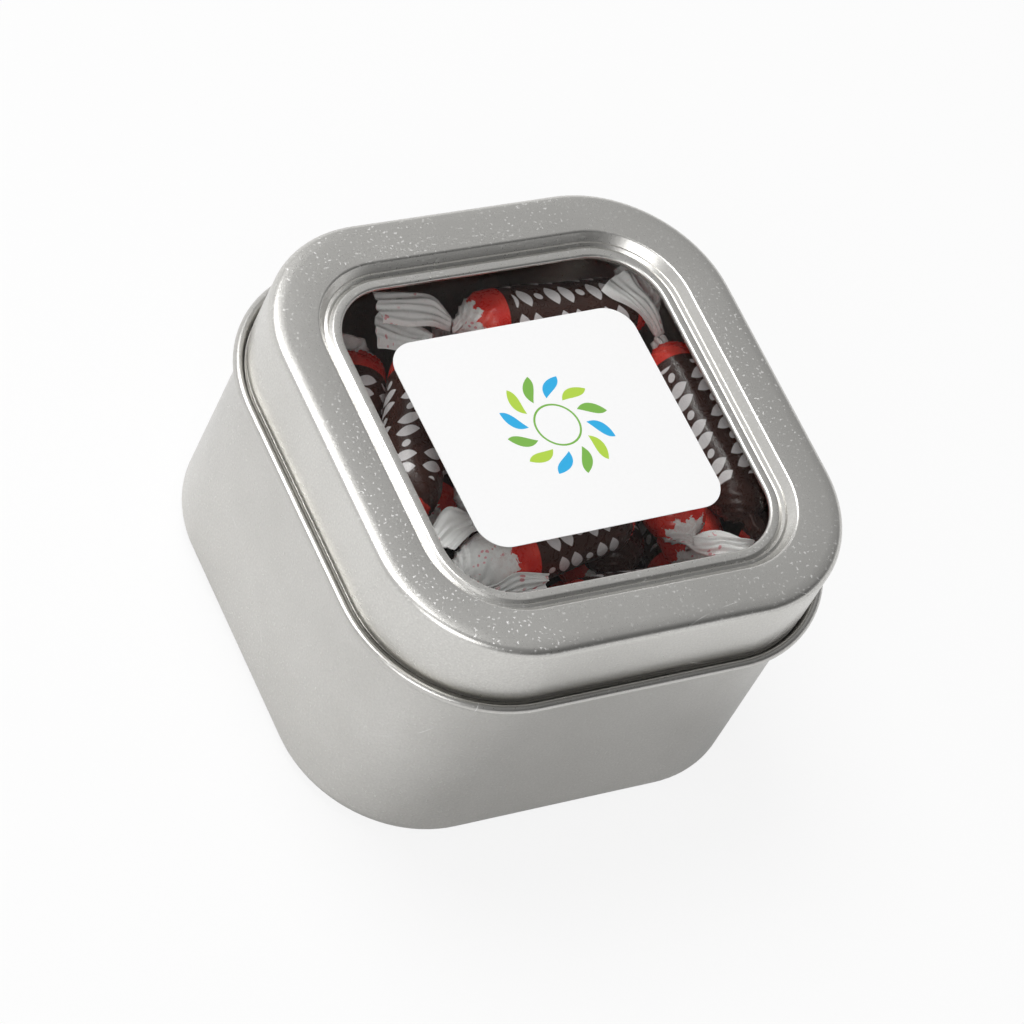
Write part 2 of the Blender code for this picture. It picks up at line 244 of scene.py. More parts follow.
can_scuffs = (((-0.06, -0.03, 0.05), 0.032, 0.00012), ((-0.05, 0.02, -0.02), 0.041, 0.0001))
can_greys = ((0.62, 0.61, 0.585, 1), (0.68, 0.67, 0.645, 1))
can_tinplate = tinplate_material("satin_tinplate_can", *can_greys, can_scuffs, 0.4)
can = mesh_piece(sweep_round_square(can_section(), closed=False), "drawn_can", can_tinplate)
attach(can, "tin")
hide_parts("tin_body")


# The chews are short rolls of soft toffee, each rolled in waxed paper whose two ends are twisted tight and
# stand out as pleated fans. The paper is brown along the roll, red over its shoulders and white at the ends.
chew_radius = 0.0062
chew_core_length = 0.027
chew_pitch = 2 * chew_radius + seat_gap
neck_radius = 0.0018
twist_length = 0.002
fan_length = 0.01
fan_thickness = 0.00012
neck_place = chew_core_length / 2 + math.sqrt(chew_radius**2 - neck_radius**2)
fan_root = neck_place + twist_length
pleat_count = 9
fold_seed = 4
pleat_twist = 1.9
slack_start = 0.0105
slack_run = 0.006
dent_scale = 190
dent_height = 0.00026
fine_dent_scale = 420
fine_dent_height = 0.00014
stem_waves_per_metre = 900
fan_begins = 0.0001
fan_tip_wander = 0.0009
fan_ruffle_height = 0.0008
fan_pleat_height = 0.0003
fan_layer_gap = 0.00012
fan_crumple_height = 0.0008
fan_bend_start = 0.0008
fan_bend_run = 0.0026
loose_pleat_height = 0.00028
loose_wave_height = 0.00035
loose_crumple_height = 0.0007
hidden_chews = 10
hidden_steps = 36
shown_steps = 96
mark_rows = 7
mark_row_height = 0.0056
mark_row_shift = 0.0021
mark_pitch = 0.0029
mark_slant = 0.35
mark_leaf_half_width = 0.00125
mark_leaf_half_length = 0.0022
mark_dot_radius = 0.0008
mark_edge_shares = (0.92, 1.05)
marks_reach = 0.0135
brown_print_reach = 0.0093
red_start = 0.0109
white_start = 0.0144
print_blur = 0.0002
rag_depth = 0.0024
scallop_depth = 0.0011
scallop_count = 9
wax_end = 0.0185
paper_start = 0.0215
crease_depth = 0.00012
brown_inks = ((0.030, 0.011, 0.008, 1), (0.085, 0.036, 0.027, 1))
red_inks = ((0.74, 0.03, 0.022, 1), (0.90, 0.085, 0.06, 1))
waxed_whites = ((0.90, 0.82, 0.80, 1), (0.98, 0.96, 0.95, 1))
paper_white = (0.98, 0.97, 0.96, 1)
mark_white = (0.82, 0.78, 0.79, 1)
fleck_red = (0.8, 0.25, 0.28, 1)


def mark_row(tree, along, angle):
    """Rows of plain white marks round the roll, slanted leaves with a dot after every two."""
    row = maths(tree, "DIVIDE", angle, 2 * math.pi / mark_rows)
    up = maths(tree, "MULTIPLY", maths(tree, "SUBTRACT", maths(tree, "FRACT", row), 0.5), mark_row_height)
    turn = maths(tree, "MULTIPLY", maths(tree, "FLOOR", row), mark_row_shift)
    slanted = maths(tree, "ADD", maths(tree, "ADD", along, maths(tree, "MULTIPLY", up, mark_slant)), turn)
    cell = maths(tree, "DIVIDE", slanted, mark_pitch)
    off = maths(tree, "MULTIPLY", maths(tree, "SUBTRACT", maths(tree, "FRACT", cell), 0.5), mark_pitch)
    aside = maths(tree, "DIVIDE", maths(tree, "ABSOLUTE", off), mark_leaf_half_width)
    bulge = maths(tree, "POWER", maths(tree, "DIVIDE", up, mark_leaf_half_length), 2.0)
    leaf = maths(tree, "ADD", aside, bulge)
    spot = maths(tree, "ADD", maths(tree, "POWER", off, 2.0), maths(tree, "POWER", up, 2.0))
    dot = maths(tree, "DIVIDE", maths(tree, "SQRT", spot), mark_dot_radius)
    which = maths(tree, "FLOORED_MODULO", maths(tree, "FLOOR", cell), 3.0)
    shape = add_node(tree, "Mix", {0: maths(tree, "GREATER_THAN", which, 0.5), 2: dot, 3: leaf}).outputs[0]
    within = span(tree, maths(tree, "ABSOLUTE", along), marks_reach, marks_reach + print_blur, 1.0, 0.0)
    return maths(tree, "MULTIPLY", span(tree, shape, *mark_edge_shares, 1.0, 0.0), within)


def wrapper_material():
    """Waxed paper: brown with plain white marks, a red band with a ragged edge, then white paper."""
    material, tree, shader = new_material("waxed_paper")
    rest = add_node(tree, "Attribute", attribute_name="wrap").outputs["Vector"]
    xyz = add_node(tree, "SeparateXYZ", {0: rest})
    unshifted = add_node(tree, "Attribute", attribute_name="along_roll").outputs["Fac"]
    along = maths(tree, "ABSOLUTE", xyz.outputs[0])
    angle = maths(tree, "ARCTAN2", xyz.outputs[1], xyz.outputs[2])
    scallop = maths(tree, "PINGPONG", maths(tree, "MULTIPLY", angle, scallop_count / math.pi), 1.0)
    mottle = cloud_noise(tree, rest, 260.0, 4.0)
    creasing = {"Vector": rest, "Scale": 700.0, "Detail": 3.0, "Distortion": 1.5}
    crease = add_node(tree, "TexNoise", creasing).outputs["Fac"]
    red_share = span(tree, along, red_start, red_start + print_blur, 0.0, 1.0)
    ragged = maths(tree, "MULTIPLY_ADD", crease, rag_depth, maths(tree, "MULTIPLY", scallop, scallop_depth))
    past_edge = maths(tree, "SUBTRACT", along, ragged)
    white_share = span(tree, past_edge, white_start, white_start + print_blur, 0.0, 1.0)
    brown = blend_colour(tree, mottle, *brown_inks)
    on_brown = span(tree, along, brown_print_reach, brown_print_reach + print_blur, 1.0, 0.0)
    marked = maths(tree, "MULTIPLY", mark_row(tree, unshifted, angle), on_brown)
    inked = blend_colour(tree, marked, brown, mark_white)
    red = blend_colour(tree, span(tree, mottle, 0.35, 0.65, 0.0, 1.0), *red_inks)
    clear = blend_colour(tree, span(tree, crease, 0.35, 0.6, 0.0, 1.0), *waxed_whites)
    paper = blend_colour(tree, span(tree, along, wax_end, paper_start, 0.0, 1.0), clear, paper_white)
    flecks = add_node(tree, "TexVoronoi", {"Vector": rest, "Scale": 900.0}).outputs["Distance"]
    fleck_area = span(tree, mottle, 0.52, 0.56, 0.0, 1.0)
    printed = maths(tree, "MULTIPLY", span(tree, flecks, 0.22, 0.3, 0.8, 0.0), fleck_area)
    speckled = blend_colour(tree, printed, paper, fleck_red)
    banded = blend_colour(tree, red_share, inked, red)
    tree.links.new(blend_colour(tree, white_share, banded, speckled), shader.inputs["Base Color"])
    tree.links.new(span(tree, crease, 0.3, 0.7, 0.22, 0.38), shader.inputs["Roughness"])
    bump = add_node(tree, "Bump", {"Strength": 0.5, "Distance": crease_depth, "Height": crease})
    tree.links.new(bump.outputs["Normal"], shader.inputs["Normal"])
    return material


def chew_profile():
    """Half of the outline of a wrapped chew, from beside its middle to the tip of one fan."""
    core_end = chew_core_length / 2
    core = [(core_end * step / 10, chew_radius) for step in range(1, 10)]
    dome = arc(core_end, 0.0, chew_radius, 90, 17, 14)
    stem = [(neck_place + twist_length * step / 4, neck_radius) for step in range(1, 5)]
    fan = [(fan_root + fan_length * step / 16, neck_radius) for step in range(1, 17)]
    return core + dome + stem + fan


def smooth(share):
    """Ease a share from 0 to 1, clamped."""
    share = max(0.0, min(1.0, share))
    return share * share * (3 - 2 * share)


def fan_surface(rows, out, across):
    """Point of a loose fan through rows of three points, by its share of the way out and place across."""
    at = out * (len(rows) - 1)
    first = min(int(at), len(rows) - 2)
    t = at - first
    near = [rows[max(0, min(len(rows) - 1, first + step))] for step in (-1, 0, 1, 2)]
    back, middle, front = (
        0.5 * (2 * b + (c - a) * t + (2 * a - 5 * b + 4 * c - d) * t**2 + (3 * b - a - 3 * c + d) * t**3)
        for a, b, c, d in zip(*near)
    )
    return middle + (back - front) * across / 2 + (back + front - 2 * middle) * across**2 / 2


def loose_fan(rows, out, angle, seed):
    """Place of a fan's vertex where the paper lies loose: the surface, its thickness, pleats and crumples."""
    across = math.sin(angle)
    point = fan_surface(rows, out, across)
    farther = fan_surface(rows, min(1.0, out + 0.02), across)
    along_out = farther - fan_surface(rows, max(0.0, out - 0.02), across)
    along_across = fan_surface(rows, out, across + 0.05) - fan_surface(rows, out, across - 0.05)
    normal = along_out.cross(along_across).normalized()
    thick = fan_thickness + 0.6 * neck_radius * (1 - out) ** 6
    pleats = loose_pleat_height * math.sin(across * 15 + seed) * (1 - 0.6 * out)
    pleats += loose_wave_height * out * math.sin(across * 6 + 2 * seed)
    crumple_at = Vector((across * 1.3, out * 2.6, seed * 1.3))
    crumple = noise.noise_vector(crumple_at) * loose_crumple_height * smooth(3 * out)
    return point + normal * (math.cos(angle) * thick + pleats * smooth(3 * out)) + crumple


def chew_mesh(ears, fans, shift, roll, steps, seed):
    """One wrapped chew along X: a soft roll whose paper gathers in pleats, twists and spreads in fans.

    The print is shifted along the roll, by one length at each end."""
    core_end = chew_core_length / 2
    half = chew_profile()
    outline = [(-x, r) for x, r in reversed(half)] + [(0.0, chew_radius)] + half
    bm = bmesh.new()
    verts = [bm.verts.new((x, 0, r)) for x, r in outline]
    edges = [bm.edges.new(pair) for pair in zip(verts, verts[1:])]
    bmesh.ops.spin(
        bm,
        geom=verts + edges,
        cent=(0, 0, 0),
        axis=(1, 0, 0),
        angle=2 * math.pi,
        steps=steps,
        use_merge=True,
    )
    bmesh.ops.remove_doubles(bm, verts=bm.verts, dist=sheet / 1000)
    wrap = bm.verts.layers.float_vector.new("wrap")
    along_roll = bm.verts.layers.float.new("along_roll")
    offset = Vector((seed * 0.37, seed * 0.11, 0))
    for vert in bm.verts:
        rest = vert.co.copy()
        side = 1 if rest.x > 0 else -1
        turn, lie, lift, spread, reach, curl = ears[(side + 1) // 2]
        rows = fans[(side + 1) // 2]
        turned = Matrix.Rotation(roll, 3, "X") @ rest
        moved = shift[0] + (shift[1] - shift[0]) * smooth(rest.x / chew_radius / 2 + 0.5)
        vert[wrap] = (rest.x + moved, turned.y, turned.z)
        vert[along_roll] = rest.x
        beyond = abs(rest.x) - core_end
        angle = math.atan2(rest.z, rest.y)
        gather = max(0.0, min(1.0, beyond / (neck_place - core_end)))
        slack = smooth((abs(rest.x) - slack_start) / slack_run)
        folded = pleat_count * (angle + pleat_twist * gather**2 * side) + seed
        pleat = abs(math.sin(folded / 2)) * gather**1.3
        rough = noise.noise(rest * dent_scale + offset) * dent_height
        rough += noise.noise(rest * fine_dent_scale + offset) * fine_dent_height * (0.4 + gather)
        out = min(1.0, (abs(rest.x) - fan_root) / fan_length)
        if out > fan_begins and rows:
            vert.co = loose_fan(rows, out, angle, seed)
            continue
        if out <= fan_begins:
            swell = 1 - 0.22 * pleat + rough / chew_radius * (1 - 0.5 * gather)
            swell -= 0.16 * slack * (1 - gather) * (0.5 + 0.5 * math.sin(3 * angle + seed))
            if beyond > neck_place - core_end:
                swell = 0.72 + 0.2 * math.cos(4 * angle + stem_waves_per_metre * beyond + seed)
            vert.co.y *= swell
            vert.co.z *= swell
            place = vert.co.copy()
        else:
            across = math.sin(angle)
            layer = 1 if math.cos(angle) > 0 else -1
            width = neck_radius + (spread - neck_radius) * out**0.6
            edge = noise.noise(Vector((across * 2.2, seed * 1.7 + side, 0))) * fan_tip_wander
            length = (reach * (1 - 0.22 * across * across) + edge) * out
            thick = neck_radius * 0.8 * (1 - out) ** 4 + fan_thickness * (1 - out) ** 0.5
            depth = math.cos(angle) * thick
            ruffle = fan_ruffle_height * out**0.7 * math.sin(across * 5.5 + seed + side)
            ruffle += fan_pleat_height * out * math.sin(across * 15 + 2 * seed)
            ruffle += layer * fan_layer_gap * (1 - out)
            crumple_at = Vector((across * 1.6, out * 1.6, seed + side * 3.1))
            crumple = noise.noise_vector(crumple_at) * fan_crumple_height * out
            place = Vector((side * (fan_root + length), depth + ruffle, across * width)) + crumple
        hinge = Vector((side * fan_root, 0, 0))
        stem = smooth((abs(rest.x) - neck_place) / twist_length)
        bend = 0.0 if rows else smooth((abs(rest.x) - fan_root + fan_bend_start) / fan_bend_run)
        place = Matrix.Rotation(lie * stem, 3, "X") @ place
        if out > 0:
            place.z += curl * out * out
        arm = Matrix.Rotation(turn * bend, 3, "Z") @ Matrix.Rotation(-side * lift * bend, 3, "Y")
        vert.co = arm @ (place - hinge) + hinge
    bmesh.ops.remove_doubles(bm, verts=bm.verts, dist=sheet / 1000)
    return bm


# Each chew's place in pitches and heading in degrees, its two ears (turn, lie and lift in degrees, then half
# width, reach and curl in mm), the shift of the print at its ends in mm and the roll of the paper in degrees.
# The first ten are the two hidden layers.
plain_ear = (0, 0, 0, 5, 10, 0)
upright_ear = (0, 90, 0, 5, 10, 0)
row_places = ((-2.866, 0.0), (-1.433, 0.315), (0.0, -0.315), (1.433, 0.315), (2.866, 0.0))
chew_table = [(x, y, 90, plain_ear, plain_ear, (0, 0), 40) for x, y in row_places * 2] + [
    (-1.969, 1.575, 58, plain_ear, (112, 0, 0, 5, 10, 0), (0, -1.5), 20),
    (-0.748, 1.024, 58, plain_ear, upright_ear, (0, 0), 80),
    (2.598, -0.079, 90, upright_ear, plain_ear, (0, 0), 120),
    (1.26, 0.079, 90, upright_ear, upright_ear, (12, 0), 200),
    (-1.575, -1.969, 10, (-90, 0, 0, 5, 10, 0), (-50, 90, 0, 5, 10, 0), (0, 0), 10),
    (-1.465, 0.898, 60, upright_ear, (80, 90, 0, 5, 10, 0), (6.5, 0), 0),
    (1.535, 2.441, -4, upright_ear, (120, 0, 0, 5, 10, 0), (1, -4), 30),
    (0.866, -2.409, -3, (60, 0, 0, 5, 10, 0), (-95, 0, 0, 5, 10, 0), (2, 0), 30),
    (-0.386, -1.291, 10, upright_ear, (100, 0, 0, 5, 10, 0), (-5.3, -6), 0),
    (-0.181, 0.52, 50, plain_ear, (-110, 0, 0, 5, 10, 0), (-3, 0), 0),
    (3.039, 0.071, 90, (0, 0, -60, 4, 8, 0), plain_ear, (14, -3), 20),
    (1.953, 0.0, 91, upright_ear, (75, 0, 0, 5, 10, 0), (1.5, 0), 0),
]
# Fans that lie loose over the others, as rows of back, middle and front points of the tin, in mm
loose_fans = {
    (17, 0): (
        ((-1.6, 34.0, 44.6), (-2.2, 32.4, 45.0), (-2.6, 31.0, 44.4)),
        ((-4.2, 38.4, 46.5), (-5.6, 34.8, 47.3), (-6.6, 31.0, 46.5)),
        ((-10.0, 39.6, 47.6), (-10.6, 35.8, 48.0), (-11.2, 32.2, 47.0)),
        ((-15.9, 39.8, 48.2), (-16.4, 36.4, 47.9), (-16.6, 33.2, 47.4)),
    ),
    (19, 0): (
        ((-25.2, -21.0, 45.6), (-25.0, -21.8, 44.4), (-25.2, -22.4, 43.2)),
        ((-21.0, -24.2, 47.6), (-20.8, -25.4, 45.8), (-20.6, -26.2, 44.0)),
        ((-16.0, -23.9, 49.4), (-15.6, -25.8, 47.8), (-16.4, -27.0, 45.8)),
        ((-9.4, -25.0, 48.6), (-9.6, -25.9, 47.8), (-10.6, -26.8, 46.8)),
    ),
    (20, 0): (
        ((-16.4, -9.2, 45.2), (-15.8, -9.9, 46.0), (-15.2, -10.6, 45.4)),
        ((-20.2, -8.2, 48.4), (-18.4, -11.0, 46.8), (-16.8, -13.2, 48.2)),
        ((-23.4, -8.6, 48.6), (-21.6, -11.4, 46.6), (-20.4, -13.8, 48.6)),
        ((-26.4, -10.4, 46.4), (-25.0, -13.0, 45.2), (-23.6, -15.8, 47.0)),
    ),
    (21, 1): (
        ((37.6, 22.6, 44.6), (38.4, 22.4, 45.2), (39.6, 22.4, 44.4)),
        ((33.8, 24.6, 48.8), (36.0, 25.6, 49.6), (38.4, 26.2, 48.8)),
        ((29.6, 27.4, 50.8), (32.6, 29.2, 51.4), (35.8, 30.0, 51.0)),
        ((26.8, 30.6, 51.4), (30.8, 33.0, 51.5), (35.2, 34.2, 51.2)),
    ),
    (22, 0): (
        ((25.0, -20.2, 42.8), (24.6, -21.6, 43.6), (24.4, -23.0, 42.9)),
        ((27.0, -20.4, 45.0), (27.2, -23.0, 45.8), (26.4, -25.8, 44.8)),
        ((31.4, -21.8, 45.4), (31.0, -24.0, 45.9), (30.4, -26.4, 45.0)),
        ((35.0, -24.2, 45.4), (34.8, -25.3, 45.5), (34.0, -26.6, 45.0)),
    ),
}
waxed_paper = wrapper_material()
noise.seed_set(fold_seed)
for number, (x, y, heading, left, right, shift, roll) in enumerate(chew_table, 1):
    node_name = f"chew_{number:02d}"
    low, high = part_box(node_name)
    there = Matrix.Translation((x * chew_pitch, y * chew_pitch, low.z + chew_radius))
    there @= Matrix.Rotation(math.radians(heading), 4, "Z")
    back_home = there.inverted()
    ears = []
    for ear in (left, right):
        angles = [math.radians(value) for value in ear[:3]]
        ears.append(angles + [value / 1000 for value in ear[3:]])
    fans = []
    for end in (0, 1):
        rows = loose_fans.get((number, end), ())
        fans.append([[back_home @ (Vector(point) / 1000) for point in row] for row in rows])
    shifts = [value / 1000 for value in shift]
    steps = hidden_steps if number <= hidden_chews else shown_steps
    bm = chew_mesh(ears, fans, shifts, math.radians(roll), steps, number)
    bmesh.ops.transform(bm, matrix=there, verts=bm.verts)
    chew = mesh_piece(bm, f"wrapped_chew_{number:02d}", waxed_paper, sharp_deg=75.0)
    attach(chew, "tin")
    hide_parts(node_name)


# The slip lid is pressed from the same satin tinplate, given lighter greys than the can's as painted light
# for the brighter light its skirt reflects. Its skirt is hemmed, and the opening has a stepped border whose
# edge is rolled back over the window to hold it.
lid_overhang = 0.0004
skirt_hem_height = 0.0022
skirt_hem_width = 0.001
shoulder_radius = 0.0016
crown_radius = 0.011
crown_deg = 9
ring_width = 0.0088
border_edge_radius = 0.0007
border_wall_run = 0.0017
border_drop = 0.0015
ridge_height = 0.0002
ridge_half_width = 0.0005
inner_groove_drop = 0.0018
hem_width = 0.00215
hem_crest_drop = 0.0014
hem_depth = 0.0011
slot_depth = 0.002
tongue_cover = 0.0014
window_thickness = 0.0003
lid_half_width = wall_half_width + lid_overhang
hem_bottom = tin_height - hem_crest_drop - hem_depth
slot_height = window_thickness + 2 * seat_gap
window_top = hem_bottom - seat_gap
wall_d = lid_half_width - ring_width - border_wall_run
nose = wall_d - 2.5 * ridge_half_width - hem_width
slot_end = nose + hem_depth / 2 + slot_depth


def lid_section():
    """Closed section of the lid's tinplate: hemmed skirt, shoulder, flat ring and the window's border."""
    hem_top = skirt_bottom + skirt_hem_height
    hem_inner = lid_half_width - skirt_hem_width
    hem_round = skirt_hem_width / 3
    shoulder_d = lid_half_width - shoulder_radius
    crown_sine = math.sin(math.radians(90 - crown_deg))
    shoulder_z = tin_height - crown_radius + (crown_radius - shoulder_radius) * crown_sine
    crown_d = shoulder_d - (crown_radius - shoulder_radius) * math.cos(math.radians(90 - crown_deg))
    edge_d = lid_half_width - ring_width
    edge_z = tin_height - border_edge_radius
    groove_z = tin_height - border_drop
    ridge_d = wall_d - ridge_half_width
    inner_groove_d = ridge_d - ridge_half_width
    inner_groove_z = tin_height - inner_groove_drop
    crest_z = tin_height - hem_crest_drop
    hem_outer = inner_groove_d - ridge_half_width / 2
    nose_radius = hem_depth / 2
    nose_d = nose + nose_radius
    nose_z = crest_z - nose_radius
    tongue_bottom = hem_bottom - slot_height - sheet
    tongue_d = slot_end - tongue_cover

    outside = [(lid_half_width - hem_round, skirt_bottom + hem_round / 2)]
    outside += [(lid_half_width - hem_round / 3, skirt_bottom + skirt_hem_height / 2)]
    outside += [(lid_half_width, hem_top)]
    outside += arc(shoulder_d, shoulder_z, shoulder_radius, 0, 90 - crown_deg, 12)
    outside += arc(crown_d, tin_height - crown_radius, crown_radius, 90 - crown_deg, 90, 5)[1:]
    outside += arc(edge_d, edge_z, border_edge_radius, 90, 150, 6)
    outside += [(wall_d, groove_z), (ridge_d, groove_z + ridge_height), (inner_groove_d, inner_groove_z)]
    outside += arc(hem_outer - nose_radius, nose_z, nose_radius, 50, 90, 4)
    outside += arc(nose_d, nose_z, nose_radius, 90, 270, 12)

    inside = [(slot_end, hem_bottom), (slot_end, hem_bottom - slot_height)]
    inside += arc(tongue_d, tongue_bottom + sheet / 2, sheet / 2, 90, 270, 4)
    inside += arc(slot_end, tongue_bottom + sheet, sheet, -90, 0, 4)
    inside += [(slot_end + sheet, inner_groove_z - sheet), (wall_d, groove_z - sheet)]
    inside += arc(edge_d, edge_z, border_edge_radius - sheet, 150, 90, 4)
    inside += arc(shoulder_d, shoulder_z, shoulder_radius - sheet, 90, 0, 8)
    inside += [(lid_half_width - sheet, hem_top), (hem_inner + hem_round, hem_top)]
    inside += [(hem_inner, hem_top - hem_round), (hem_inner, skirt_bottom + hem_round)]
    inside += [(hem_inner + hem_round, skirt_bottom)]
    return outside + inside


lid_scratches = (((-0.052, 0.052, 0.0604), 0.0165, 0.00009), ((0.02, -0.09, 0.0604), 0.046, 0.00007))
# Painted light: the lid's greys are lighter than the can's, standing in for the brighter light that its skirt
# reflects.
lid_greys_painted_lighter = ((0.72, 0.71, 0.68, 1), (0.77, 0.76, 0.73, 1))
lid_tinplate_painted_lighter = tinplate_material("satin_tinplate_lid_painted_lighter", *lid_greys_painted_lighter, lid_scratches, 0.8)
lid = mesh_piece(sweep_round_square(lid_section(), closed=True), "slip_lid", lid_tinplate_painted_lighter)
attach(lid, "lid")
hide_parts("lid_shell")


# The window is a flat sheet of clear stiff plastic, cut to the lid's opening with round corners and held in
# the fold of the border.
mirror_share = 0.012
slanted_mirror_share = 0.6


def clear_material():
    """Clear plastic that lets light through and mirrors a little of it."""
    material, tree, shader = new_material("clear_plastic")
    tree.nodes.remove(shader)
    slant = add_node(tree, "LayerWeight", {"Blend": 0.5}).outputs["Facing"]
    steep = maths(tree, "POWER", slant, 5.0)
    share = maths(tree, "MULTIPLY_ADD", steep, slanted_mirror_share, mirror_share)
    through = add_node(tree, "BsdfTransparent", {"Color": (0.98, 0.985, 0.98, 1)})
    mirror = add_node(tree, "BsdfGlossy", {"Roughness": 0.04})
    mixed = add_node(tree, "MixShader", {0: share, 1: through.outputs[0], 2: mirror.outputs[0]})
    tree.links.new(mixed.outputs[0], tree.nodes["Material Output"].inputs["Surface"])
    return material


window_edge = slot_end - seat_gap
pane_section = [(window_edge, window_top - window_thickness), (window_edge, window_top)]
window = mesh_piece(sweep_round_square(pane_section, closed=False), "clear_pane", clear_material())
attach(window, "lid")
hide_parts("window_sheet")


# The sticker is white coated paper with round corners, stuck to the outside of the window. It carries a
# plain ornament, a wreath of printed leaves round a thin ring.
label_half_length = 0.0254
label_half_width = 0.0225
label_corner_radius = 0.0055
label_centre = (0.0002, -0.0006, 0.0)
label_turn = math.radians(1.0)
green_ink = (0.20, 0.46, 0.07, 1)
pale_green_ink = (0.45, 0.66, 0.06, 1)
blue_ink = (0.02, 0.42, 0.78, 1)
sticker_whites = ((0.93, 0.93, 0.93, 1), (0.96, 0.96, 0.96, 1))
wreath_radius = 0.0084
wreath_leaves = 12
wreath_leaf_half_width = 0.00125
wreath_leaf_half_length = 0.0026
wreath_leaf_slant = 0.55
wreath_ring_radius = 0.0044
wreath_ring_half_line = 0.00018
sticker_print_blur = 0.00004
tooth_scale = 1500.0
tooth_depth = 0.00002


def ink_line(tree, distance, place, half_width):
    """Share, from 0 to 1, of a printed line at a place on a distance field."""
    off = maths(tree, "ABSOLUTE", maths(tree, "SUBTRACT", distance, place))
    return span(tree, off, half_width, half_width + sticker_print_blur, 1.0, 0.0)


def sticker_material():
    """Coated white paper with a faint tooth, printed with the wreath."""
    material, tree, shader = new_material("white_sticker")
    place = add_node(tree, "TexCoord").outputs["Object"]
    centred = add_node(tree, "VectorMath", {0: place, 1: label_centre}, operation="SUBTRACT").outputs[0]
    squared = add_node(tree, "VectorRotate", {"Vector": centred, "Angle": -label_turn}).outputs["Vector"]
    x, y = add_node(tree, "SeparateXYZ", {0: squared}).outputs[:2]
    radius_squared = maths(tree, "ADD", maths(tree, "POWER", x, 2.0), maths(tree, "POWER", y, 2.0))
    radius = maths(tree, "SQRT", radius_squared)
    sector = maths(tree, "MULTIPLY", maths(tree, "ARCTAN2", y, x), wreath_leaves / (2 * math.pi))
    within = maths(tree, "SUBTRACT", maths(tree, "FRACT", sector), 0.5)
    turned = maths(tree, "MULTIPLY", within, 2 * math.pi * wreath_radius / wreath_leaves)
    off = maths(tree, "SUBTRACT", radius, wreath_radius)
    aside = maths(tree, "ABSOLUTE", maths(tree, "MULTIPLY_ADD", off, wreath_leaf_slant, turned))
    bulge = maths(tree, "POWER", maths(tree, "DIVIDE", off, wreath_leaf_half_length), 2.0)
    leaf = maths(tree, "ADD", maths(tree, "DIVIDE", aside, wreath_leaf_half_width), bulge)
    leaves = span(tree, leaf, 0.97, 1.03, 1.0, 0.0)
    which = maths(tree, "FLOORED_MODULO", maths(tree, "FLOOR", sector), 3.0)
    greens = blend_colour(tree, maths(tree, "GREATER_THAN", which, 0.5), green_ink, pale_green_ink)
    ink = blend_colour(tree, maths(tree, "GREATER_THAN", which, 1.5), greens, blue_ink)
    tooth = cloud_noise(tree, place, tooth_scale, 3.0)
    paper = blend_colour(tree, tooth, *sticker_whites)
    ring = ink_line(tree, radius, wreath_ring_radius, wreath_ring_half_line)
    ringed = blend_colour(tree, ring, paper, green_ink)
    tree.links.new(blend_colour(tree, leaves, ringed, ink), shader.inputs["Base Color"])
    shader.inputs["Roughness"].default_value = 0.4
    bump = add_node(tree, "Bump", {"Strength": 0.1, "Distance": tooth_depth, "Height": tooth})
    tree.links.new(bump.outputs["Normal"], shader.inputs["Normal"])
    return material


def label_sheet():
    """The sticker's sheet: a rectangle with round corners, turned a little, at the CAD label's heights."""
    low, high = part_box("label")
    outline = []
    for quarter in range(4):
        side_x = 1 if quarter in (0, 3) else -1
        side_y = 1 if quarter in (0, 1) else -1
        corner_x = side_x * (label_half_length - label_corner_radius)
        corner_y = side_y * (label_half_width - label_corner_radius)
        outline += arc(corner_x, corner_y, label_corner_radius, 90 * quarter, 90 * quarter + 90, 20)
    bm = bmesh.new()
    sheet_face = bm.faces.new([bm.verts.new((x, y, low.z)) for x, y in outline])
    drawn = bmesh.ops.extrude_face_region(bm, geom=[sheet_face])["geom"]
    raised = [item for item in drawn if isinstance(item, bmesh.types.BMVert)]
    bmesh.ops.translate(bm, verts=raised, vec=(0, 0, high.z - low.z))
    bmesh.ops.rotate(bm, cent=(0, 0, 0), matrix=Matrix.Rotation(label_turn, 3, "Z"), verts=bm.verts)
    bmesh.ops.translate(bm, verts=bm.verts, vec=label_centre)
    return bm


sticker = mesh_piece(label_sheet(), "round_cornered_sticker", sticker_material())
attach(sticker, "lid")
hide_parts("label")


# The tin stands on a wide pale floor. The camera sees the floor nearly white, also through the window, and it
# keeps the soft shadow.
floor_radius = 3.0
floor_colour = (0.86, 0.86, 0.86, 1)
seen_white_share = 0.85
mirrored_white_share = 0.04


def pale_floor():
    """A wide pale floor under the tin."""
    bm = bmesh.new()
    bmesh.ops.create_circle(bm, cap_ends=True, radius=floor_radius, segments=64)
    material, tree, shader = new_material("pale_floor")
    shader.inputs["Base Color"].default_value = floor_colour
    shader.inputs["Roughness"].default_value = 0.9
    shader.inputs["Specular IOR Level"].default_value = 0.0
    rays = add_node(tree, "LightPath").outputs
    seen = maths(tree, "MAXIMUM", rays["Is Camera Ray"], rays["Is Transmission Ray"])
    mirrored = maths(tree, "MULTIPLY", rays["Is Glossy Ray"], mirrored_white_share)
    share = maths(tree, "ADD", maths(tree, "MULTIPLY", seen, seen_white_share), mirrored)
    white = add_node(tree, "Emission", {"Color": (1, 1, 1, 1), "Strength": 1.0})
    mixed = add_node(tree, "MixShader", {0: share, 1: shader.outputs[0], 2: white.outputs[0]})
    tree.links.new(mixed.outputs[0], tree.nodes["Material Output"].inputs["Surface"])
    return mesh_piece(bm, "floor", material)


pale_floor()

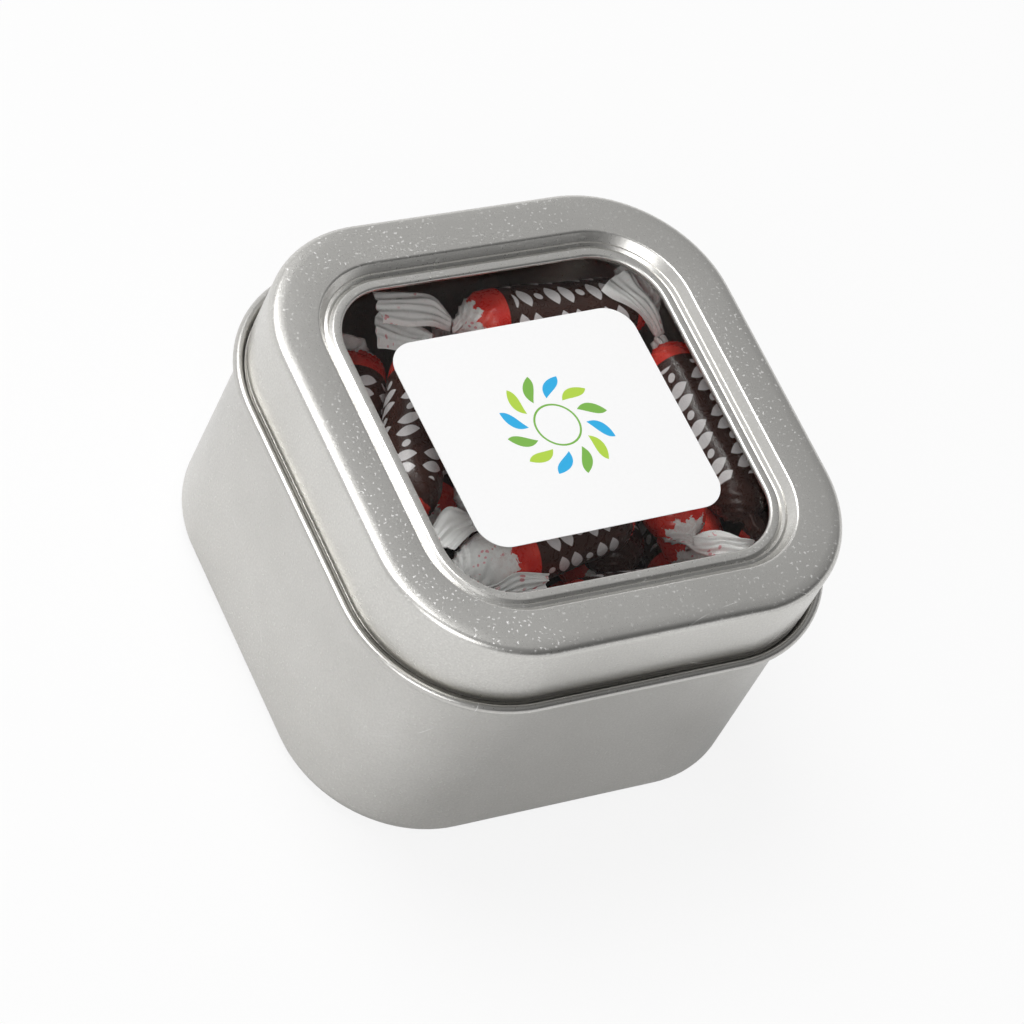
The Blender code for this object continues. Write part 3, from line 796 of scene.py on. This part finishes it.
# A white studio: brightest low down, dimmer overhead, and plain white where the camera sees it
low_band = (0.05, 0.38)
overhead_level = 0.37
overhead_lean = 0.48
lean_to = (-0.5, 0.55, 0)
world = bpy.data.worlds.new("studio")
bpy.context.scene.world = world
world.use_nodes = True
tree = world.node_tree
sky_direction = add_node(tree, "TexCoord").outputs["Generated"]
sky_height = add_node(tree, "SeparateXYZ", {0: sky_direction}).outputs[2]
low_down = span(tree, sky_height, *low_band, 1.0, 0.0)
leaning = add_node(tree, "VectorMath", {0: sky_direction, 1: lean_to}, operation="DOT_PRODUCT")
overhead = maths(tree, "MULTIPLY_ADD", leaning.outputs["Value"], overhead_lean, overhead_level)
high_up = maths(tree, "MULTIPLY", maths(tree, "SUBTRACT", 1.0, low_down), overhead)
level = maths(tree, "ADD", low_down, high_up)
seen = add_node(tree, "LightPath").outputs["Is Camera Ray"]
strength = maths(tree, "ADD", maths(tree, "MULTIPLY", level, maths(tree, "SUBTRACT", 1.0, seen)), seen)
tree.links.new(strength, tree.nodes["Background"].inputs["Strength"])
tree.nodes["Background"].inputs["Color"].default_value = (1, 1, 1, 1)

# Two large soft lamps, one high and a little behind, the other on the camera's side
lamp_distance = 1.3
lamp_size = 0.8
for lamp_name, heading_to, energy in (
    ("key", (-0.14, 0.42, 0.90), 8.9),
    ("fill", (-0.54, -0.50, 0.68), 4.2),
):
    lamp_data = bpy.data.lights.new(lamp_name, "AREA")
    lamp_data.shape = "DISK"
    lamp_data.size = lamp_size
    lamp_data.energy = energy
    lamp = bpy.data.objects.new(lamp_name, lamp_data)
    lamp.location = Vector(heading_to) * lamp_distance
    lamp.rotation_euler = lamp.location.to_track_quat("Z", "Y").to_euler()
    bpy.context.scene.collection.objects.link(lamp)

# The camera stands where the photo was taken from, with a long lens
camera_place = Vector((-0.42647, -0.37928, 0.68297))
right = Vector((0.85548, -0.40042, 0.32835))
up = Vector((0.15793, 0.80563, 0.57098))
facing = Matrix((right, up, right.cross(up))).transposed().to_4x4()
camera_data = bpy.data.cameras.new("camera")
camera_data.lens = 167.3
camera_data.sensor_width = 36.0
camera = bpy.data.objects.new("camera", camera_data)
camera.matrix_world = Matrix.Translation(camera_place) @ facing
bpy.context.scene.collection.objects.link(camera)
bpy.context.scene.camera = camera
bpy.context.scene.view_settings.view_transform = "Standard"
